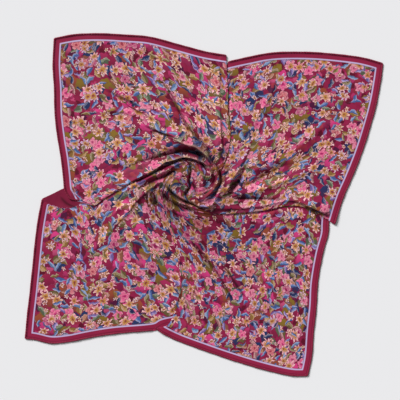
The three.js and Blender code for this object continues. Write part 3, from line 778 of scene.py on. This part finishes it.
def scattered(cloth, spacing, shift, colours, share):
    """Motifs strewn about spacing apart, a share of them kept. Gives the place in the nearest
    one, its turn, a random value of its own, its colour and whether it is kept."""
    moved = cloth.vector("ADD", cloth, (shift, shift * 1.7, 0))
    cell = moved.node("ShaderNodeTexVoronoi", {"voronoi_dimensions": "2D"}, {
        "Vector": moved, "Scale": 1 / spacing, "Randomness": 0.75}, "Position")
    place = moved.node("ShaderNodeSeparateXYZ", {}, {0: moved.vector("SUBTRACT", moved, cell)})
    chance = cell.node("ShaderNodeSeparateColor", sockets={0: cell.also("Color")})
    some = chance.also(2)
    kept = some.within(share, 0.001)
    return place, place.also("Y"), chance, some, chance.also(1).choice(colours), kept


def wave(value):
    """A cosine lifted to run from 0 to 1."""
    return value.math("COSINE", value) * 0.5 + 0.5


def brushed(ground, cloth, grain, spacing, size, shift, colours, share):
    """Loose brushed patches, darker down one side."""
    x, y, _, _, colour, kept = scattered(cloth, spacing, shift, colours, share)
    radius = (x * x + y * y) ** 0.5
    limit = grain * (1.5 * size) + size * 0.3
    dark = colour.mix(dyed(70, 18, 44), (y / size * 0.5 + 0.35).within(0.2, 0.9) * 0.5)
    return ground.mix(dark, radius.within(limit, 1.2) * kept)


def peonies(ground, cloth, spacing, petals, size, shift, colours, share):
    """Full round flowers: two rings of cupped petals, deep towards the heart."""
    x, y, turn, some, colour, kept = scattered(cloth, spacing, shift, colours, share)
    radius = (x * x + y * y) ** 0.5
    angle = (x.math("ARCTAN2", y, x) + turn * (2 * math.pi)) * petals
    full = some * (0.3 * size) + 0.8 * size
    outer, inner = wave(angle), wave(angle + 2.6)
    edge = full * (outer ** 0.5 * 0.3 + 0.7)
    ring = full * (inner ** 0.5 * 0.2 + 0.36)
    lit = colour.mix(dyed(246, 190, 196), (radius / edge) ** 3 * 0.55)
    deep = lit.mix(dyed(132, 24, 70), (1 - outer) ** 3 * 0.6)
    cup = colour.mix(dyed(250, 196, 190), (radius / ring) ** 4 * 0.6)
    cup = cup.mix(dyed(120, 22, 60), (radius / (0.35 * full)).within(0.6, 0.8) * 0.7)
    flower = deep.mix(dyed(120, 22, 60), abs(radius - ring).within(0.5, 0.5) * 0.5)
    flower = flower.mix(cup, radius.within(ring))
    outlined = ground.mix(dyed(84, 14, 44), radius.within(edge + 0.8) * kept * 0.75)
    return outlined.mix(flower, radius.within(edge) * kept)


def daisies(ground, cloth, spacing, petals, size, shift, colours, share):
    """Spiky flowers: long pointed petals, ochre at their feet and pale along their rims."""
    x, y, turn, some, colour, kept = scattered(cloth, spacing, shift, colours, share)
    radius = (x * x + y * y) ** 0.5
    angle = (x.math("ARCTAN2", y, x) / (2 * math.pi) + turn) * petals + 40.0
    tip = 1 - abs(angle.math("FRACT", angle) * 2 - 1)
    full = some * (0.35 * size) + 0.75 * size
    edge = full * (tip ** 0.85 * 0.72 + 0.28)
    petal = colour.mix(dyed(178, 124, 38), (radius / full).within(0.52, 0.5))
    petal = petal.mix(dyed(250, 214, 208), (edge - radius).within(1.0, 0.9) * 0.75)
    petal = petal.mix(dyed(120, 20, 60), (tip * radius).within(0.55, 0.5) * 0.5)
    petal = petal.mix(dyed(122, 34, 60), radius.within(full * 0.17) * 0.8)
    outlined = ground.mix(dyed(92, 14, 48), radius.within(edge + 0.9) * kept * 0.7)
    return outlined.mix(petal, radius.within(edge) * kept)


def leaves(ground, cloth, spacing, size, slim, shift, colours, share):
    """Single bent leaves in two tones, with a pale rim and fine side veins on the lighter half."""
    x, y, turn, _, colour, kept = scattered(cloth, spacing, shift, colours, share)
    lean = turn * (2 * math.pi)
    cosine, sine = lean.math("COSINE", lean), lean.math("SINE", lean)
    along = x * cosine + y * sine
    across = y * cosine - x * sine + along * along * (0.22 / size)
    half = (1 - (along / size) ** 2) * (slim * size)
    upper = across.within(0.0, 0.5)
    blade = colour.mix(dyed(26, 24, 62), upper * 0.42)
    vein = wave((along + abs(across) * 1.3) * 2.4)
    blade = blade.mix(dyed(214, 204, 214), (1 - upper) * vein * 0.3)
    rim = (half - abs(across)).within(0.5, 0.6) * (1 - upper)
    blade = blade.mix(dyed(232, 200, 196), rim * 0.5)
    outlined = ground.mix(dyed(74, 14, 46), abs(across).within(half + 0.5) * kept * 0.6)
    return outlined.mix(blade, abs(across).within(half) * kept)


silk_dye, gloss, start = finish_start("printed_silk")
flat_at = start.attribute("flat", "Vector")
hand = flat_at.noise(0.15, 4.0, "Color")
wander = hand.vector("SUBTRACT", hand, (0.5, 0.5, 0.5))
wander = wander.vector("MULTIPLY", wander, (HAND, HAND, 0.0))
print_at = flat_at.vector("ADD", flat_at, wander)
print_at = print_at.vector("MULTIPLY", print_at, (1.0, 1.0, 0.0))

grain = flat_at.noise(0.22, 2.0)
wine = start.blend(dyed(92, 8, 34), dyed(164, 34, 82), print_at.noise(0.09, 3.0))
cloth_print = brushed(wine, print_at, grain, 8, 4.6, 61, [
    (0.0, 94, 8, 36), (0.25, 172, 46, 96), (0.42, 124, 22, 66),
    (0.58, 150, 42, 60), (0.74, 186, 72, 112), (0.88, 78, 16, 56)], 0.6)
cloth_print = brushed(cloth_print, print_at, grain, 15, 8.0, 19, [
    (0.0, 126, 98, 32), (0.24, 204, 58, 122), (0.42, 140, 26, 66),
    (0.58, 146, 70, 46), (0.74, 160, 40, 84), (0.88, 30, 48, 92)], 0.5)
cloth_print = leaves(cloth_print, print_at, 16, 7.5, 0.5, 31, [
    (0.0, 122, 102, 34), (0.3, 168, 122, 38), (0.52, 100, 112, 74),
    (0.72, 164, 96, 56), (0.88, 34, 54, 98)], 0.72)
cloth_print = leaves(cloth_print, print_at, 15.5, 8.5, 0.29, 77, [
    (0.0, 78, 110, 170), (0.36, 112, 142, 186), (0.58, 28, 52, 96),
    (0.74, 132, 106, 172), (0.88, 180, 120, 116)], 0.8)
cloth_print = peonies(cloth_print, print_at, 27, 5, 8.5, 211, [
    (0.0, 214, 62, 130), (0.36, 206, 94, 136), (0.66, 186, 78, 90),
    (0.84, 164, 34, 100)], 0.75)
cloth_print = daisies(cloth_print, print_at, 22, 7, 9.2, 409, [
    (0.0, 232, 158, 176), (0.45, 224, 164, 154), (0.7, 220, 104, 150),
    (0.88, 188, 152, 204)], 0.8)
cloth_print = leaves(cloth_print, print_at, 17, 5.8, 0.34, 303, [
    (0.0, 82, 116, 176), (0.35, 142, 116, 40), (0.6, 150, 130, 196),
    (0.8, 30, 38, 84)], 0.55)
cloth_print = daisies(cloth_print, print_at, 15, 5, 3.9, 143, [
    (0.0, 172, 156, 208), (0.4, 226, 176, 166), (0.7, 226, 124, 160)], 0.5)

axes = flat_at.node("ShaderNodeSeparateXYZ", sockets={0: flat_at})
edge_off = start.attribute("edge")
lengthwise = flat_at.vector("MULTIPLY", flat_at, (0.02, 0.02, 0))
streaks = edge_off.vector("ADD", edge_off * 0.55, lengthwise).noise(1.0, 3.0)
band_tone = start.blend(dyed(112, 14, 42), dyed(160, 36, 78), streaks)
outline = edge_off.within(BORDER + BORDER_LINE + INK_EDGE, 0.5)
bordered = cloth_print.mix(dyed(74, 14, 52), outline * 0.6)
bordered = bordered.mix(dyed(186, 168, 206), edge_off.within(BORDER + BORDER_LINE, 0.5))
bordered = bordered.mix(band_tone, edge_off.within(BORDER, 0.5))
bordered = bordered.mix(dyed(72, 8, 32), abs(edge_off - HEM_SHADE).within(0.5, 0.9) * 0.55)
faded = bordered.mix(dyed(196, 150, 160), axes.also("Z") * 0.22)
# Painted highlight: ridge crests lightened towards pale peach.
highlighted_print = faded.mix(dyed(240, 200, 176), start.attribute("crest_highlight") * 0.26)
# Painted shade: the print multiplied darker in the rosette's grooves and middle.
shaded_print = start.blend(highlighted_print, dyed(112, 84, 96), start.attribute("painted_shade"), "MULTIPLY")
shaded_print.feed(gloss, "Base Color")

twill = (axes + axes.also("Y")) * (2 * math.pi / TWILL)
twill_line = twill.math("SINE", twill)
start.node("ShaderNodeBump", {}, {
    "Strength": 0.25, "Distance": 0.04 * MM, "Height": twill_line}).feed(gloss, "Normal")
set_gloss(gloss, SILK_GLOSS)
set_gloss(gloss, {"Sheen Tint": dyed(255, 226, 232)})
for panel in panels:
    panel.data.materials.append(silk_dye)


# ---- Rolled hems -------------------------------------------------------------------------
# Each edge of the square is rolled by hand between finger and thumb into a thin round hem of
# the plain wine border, a little uneven, and drawn in slightly at each stitch.

HEM_STEP = 0.8                 # spacing of the hem's rings
HEM_SIDES = 12
HEM_ENDS = 0.3                 # air at each end of a hem
HEM_LIFT = 0.6                 # how much more a hem climbs over a pleat than the silk does
HEM_ROUNDING = 1.4             # length of its rounded end
HEM_UNEVEN = (0.07, 0.05)      # share that the long and the short swell add to the roll
HEM_SWELLS = (7.3, 2.9)        # and the run over which each turns by one radian
DRAWN_IN = 0.06                # share that a stitch draws the roll in
STITCH_SPACING = 4.0


def hem_path(lobe, index):
    """Centre of a hem from its corner to its pleat, its inward side, how far it climbs there,
    and the length run so far."""
    name = lobe["hems"][index]
    length = lobe["lengths"][index]
    count = int(length / HEM_STEP)
    shares = np.linspace(HEM_ENDS / length, 1 - HEM_ENDS / length, count)
    line = spaced(hem_routes[name], shares)[0]
    along = np.gradient(line, axis=0)
    along /= np.hypot(*along.T)[:, None]
    side = np.stack([-along[:, 1], along[:, 0]], 1) * (1 if index else -1)
    centre = line + side * HEM / 2
    covering = lobe["folds"][index] in lobe["covers"]
    near = (1 - shares) * length
    climb = (1 - smooth(near, FOLD_WIDTH, FOLD_RAMP)) * (SILK + AIR + HEM_LIFT) * covering
    return centre, side, climb, shares * length


hem_dye, gloss, start = finish_start("hem_silk")
place = start.node("ShaderNodeTexCoord", out="Object")
start.blend(dyed(92, 14, 38), dyed(140, 32, 62), place.noise(160.0, 3.0)).feed(gloss, "Base Color")
weave = place.noise(2400.0, 2.0)
start.node("ShaderNodeBump", {}, {
    "Strength": 0.3, "Distance": 0.1 * MM, "Height": weave}).feed(gloss, "Normal")
set_gloss(gloss, SILK_GLOSS)

for lobe in lobes:
    lobe["hem_pieces"] = []
    for index, name in enumerate(lobe["hems"]):
        centre, side, climb, run = hem_path(lobe, index)
        random = np.random.default_rng(len(name) * 7 + index)
        phase = random.uniform(0, 6)
        radius = HEM / 2 * (
            1 + HEM_UNEVEN[0] * np.sin(run / HEM_SWELLS[0] + phase)
            + HEM_UNEVEN[1] * np.sin(run / HEM_SWELLS[1])
            - DRAWN_IN * np.cos(2 * math.pi * run / STITCH_SPACING))
        ends = np.minimum(run - run[0], run[-1] - run)
        nose = 1 - (1 - np.minimum(ends / HEM_ROUNDING, 1)) ** 2
        radius = radius * np.sqrt(np.clip(nose, 0.02, 1))
        rings = []
        for k in range(HEM_SIDES):
            turn = 2 * math.pi * k / HEM_SIDES
            out = radius * math.cos(turn)
            rings.append(np.column_stack([
                centre + side * out[:, None], radius * (1 + math.sin(turn)) + climb]))
        rings = np.stack(rings, 1)
        count = len(run)
        points = np.concatenate([rings.reshape(-1, 3), rings[[0, -1]].mean(1)])
        grid = np.arange(count * HEM_SIDES).reshape(count, HEM_SIDES)
        wrap = np.roll(grid, -1, 1)
        faces = np.stack([grid[:-1], wrap[:-1], wrap[1:], grid[1:]], -1).reshape(-1, 4).tolist()
        faces += [[count * HEM_SIDES, int(b), int(a)] for a, b in zip(grid[0], wrap[0])]
        faces += [[count * HEM_SIDES + 1, int(a), int(b)] for a, b in zip(grid[-1], wrap[-1])]
        if index == 0:
            faces = [face[::-1] for face in faces]
        hem = laid_piece("rolled_hem_" + name, points, [], faces)
        hem.data.materials.append(hem_dye)
        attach(hem, "root")
        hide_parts("hem_" + name)
        lobe["hem_pieces"].append(hem)


# ---- Hem stitches ------------------------------------------------------------------------
# One strand of wine silk thread, whipped over the roll from beneath, so that only a short
# slanted stitch shows every 4 mm where the roll meets the panel.

STITCH_LENGTH = 1.5
THREAD = 0.32
STITCH_SLANT = 52              # degrees from the way of the hem
STITCH_SEAT = (0.72, 1.68)     # how far in and up the stitches sit, in half hem thicknesses
UNSEWN = 4                     # rings of the hem without a stitch at each end

thread_dye, gloss, start = finish_start("hem_thread")
strand = start.node("ShaderNodeTexCoord", out="Object").noise(3000.0, 2.0)
start.blend(dyed(120, 34, 60), dyed(166, 66, 96), strand).feed(gloss, "Base Color")
set_gloss(gloss, {"Roughness": 0.45})

stitching = bpy.data.node_groups.new("whip_stitches", "GeometryNodeTree")
stitching.interface.new_socket("Geometry", in_out="INPUT", socket_type="NodeSocketGeometry")
stitching.interface.new_socket("Geometry", in_out="OUTPUT", socket_type="NodeSocketGeometry")
stitch_inputs = {}
for name, value in (("Spacing", STITCH_SPACING * MM), ("Length", STITCH_LENGTH * MM),
                    ("Thread", THREAD * MM), ("Slant", math.radians(STITCH_SLANT))):
    socket = stitching.interface.new_socket(name, in_out="INPUT", socket_type="NodeSocketFloat")
    stitch_inputs[socket.identifier] = value
build = Dye(stitching)
given = build.node("NodeGroupInput", out="Geometry")
route = build.node("GeometryNodeMeshToCurve", {}, {"Mesh": given}, "Curve")
spots = build.node("GeometryNodeCurveToPoints", {"mode": "LENGTH"}, {
    "Curve": route, "Length": given.also("Spacing")}, "Points")
bead = build.node("GeometryNodeMeshUVSphere", {}, {
    "Segments": 6, "Rings": 5, "Radius": 0.5}, "Mesh")
facing = build.node("FunctionNodeAlignRotationToVector", {"axis": "X"}, {
    "Vector": spots.also("Tangent")}, "Rotation")
sway = build.node("FunctionNodeRandomValue", {"data_type": "FLOAT"}, {
    2: -0.16, 3: 0.16, "Seed": 11}, 1)
lean = build.node("ShaderNodeCombineXYZ", {}, {"Z": given.also("Slant") + sway})
lean = build.node("FunctionNodeEulerToRotation", {}, {0: lean})
laid = build.node("FunctionNodeRotateRotation", {"rotation_space": "LOCAL"}, {0: facing, 1: lean})
stretch = build.node("FunctionNodeRandomValue", {"data_type": "FLOAT"}, {
    2: 0.85, 3: 1.15, "Seed": 4}, 1)
size = build.node("ShaderNodeCombineXYZ", {}, {
    "X": given.also("Length") * stretch, "Y": given.also("Thread"), "Z": given.also("Thread")})
sewn = build.node("GeometryNodeInstanceOnPoints", {}, {
    "Points": spots, "Instance": bead, "Rotation": laid, "Scale": size}, "Instances")
whole = build.node("GeometryNodeRealizeInstances", {}, {"Geometry": sewn}, "Geometry")
dyed_mesh = build.node("GeometryNodeSetMaterial", {}, {"Geometry": whole, "Material": thread_dye})
build.tree.links.new(dyed_mesh.socket, build.tree.nodes.new("NodeGroupOutput").inputs[0])

for lobe in lobes:
    points, edges = [], []
    for index in (0, 1):
        centre, side, climb, _ = hem_path(lobe, index)
        seat = centre + side * (HEM / 2 * STITCH_SEAT[0])
        seats = np.column_stack([seat, HEM / 2 * STITCH_SEAT[1] + climb])
        first = len(points)
        points += seats[UNSEWN:-UNSEWN].tolist()
        edges += [(k, k + 1) for k in range(first, len(points) - 1)]
    stitches = laid_piece("stitches_" + lobe["name"], points, edges, [])
    sewing = stitches.modifiers.new("whip_stitches", "NODES")
    sewing.node_group = stitching
    for identifier, value in stitch_inputs.items():
        sewing[identifier] = value
    settled = stitches.evaluated_get(bpy.context.evaluated_depsgraph_get())
    stitches.data = bpy.data.meshes.new_from_object(settled)
    stitches.modifiers.clear()
    stitches.data.shade_smooth()
    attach(stitches, "root")


# ---- Studio ------------------------------------------------------------------------------
# The scarf lies on a wide pale matt floor under one broad light from the upper left, with
# even light from all round.

FLOOR_SIZE = 8.0
LIGHT_BEARING = 128
LIGHT_HEIGHT = 34
LIGHT_WIDTH = 24               # degrees, so that shadows are soft
LIGHT_STRENGTH = 4.25
ROOM_LIGHT = 0.27

floor = bpy.data.objects.new("floor", bpy.data.meshes.new("floor"))
half = FLOOR_SIZE / 2
floor.data.from_pydata(
    [(-half, -half, 0), (half, -half, 0), (half, half, 0), (-half, half, 0)], [], [(0, 1, 2, 3)])
bpy.context.scene.collection.objects.link(floor)
matt, gloss, _ = finish_start("floor")
set_gloss(gloss, {
    "Base Color": (0.80, 0.80, 0.815, 1), "Roughness": 1.0, "Specular IOR Level": 0.0})
floor.data.materials.append(matt)

lamp = bpy.data.objects.new("broad_light", bpy.data.lights.new("broad_light", "SUN"))
lamp.data.energy = LIGHT_STRENGTH
lamp.data.angle = math.radians(LIGHT_WIDTH)
bearing, rise = math.radians(LIGHT_BEARING), math.radians(LIGHT_HEIGHT)
towards = Vector((
    math.cos(bearing) * math.cos(rise), math.sin(bearing) * math.cos(rise), math.sin(rise)))
lamp.rotation_euler = towards.to_track_quat("Z", "Y").to_euler()
bpy.context.scene.collection.objects.link(lamp)
world = bpy.data.worlds.new("room")
world.use_nodes = True
set_gloss(world.node_tree.nodes["Background"], {"Color": (1, 1, 1, 1), "Strength": ROOM_LIGHT})
bpy.context.scene.world = world
bpy.context.scene.view_settings.view_transform = "Standard"
